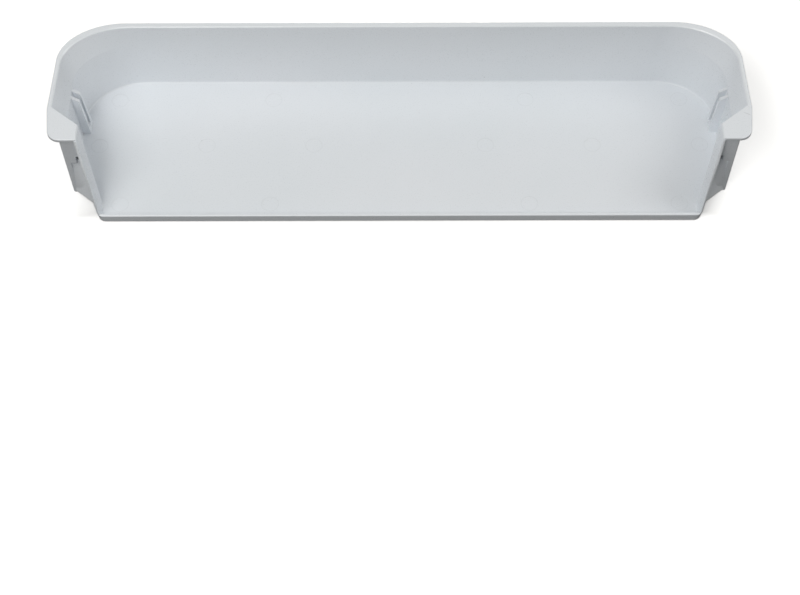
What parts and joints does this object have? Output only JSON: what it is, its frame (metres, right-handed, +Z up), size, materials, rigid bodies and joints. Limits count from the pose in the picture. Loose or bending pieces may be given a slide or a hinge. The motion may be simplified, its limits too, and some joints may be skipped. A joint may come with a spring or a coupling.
{
  "type": "refrigerator door shelf",
  "caption": "Open-backed door shelf: long flat tray with a low rear lip, a tall front wall with rounded corners, hooked wings at the ends and slots for a bottle rail.",
  "frame": {"origin": "under the middle of the shelf, on the plane of its underside", "axes": "+X along the shelf, +Y away from the door towards the tall front wall, +Z up"},
  "size_m": [0.4928, 0.13, 0.064],
  "materials": {
    "shelf_plastic": "white moulded polystyrene with a satin skin"
  },
  "bodies": {
    "root": {"door_shelf": "shelf_plastic"}
  },
  "joints": []
}
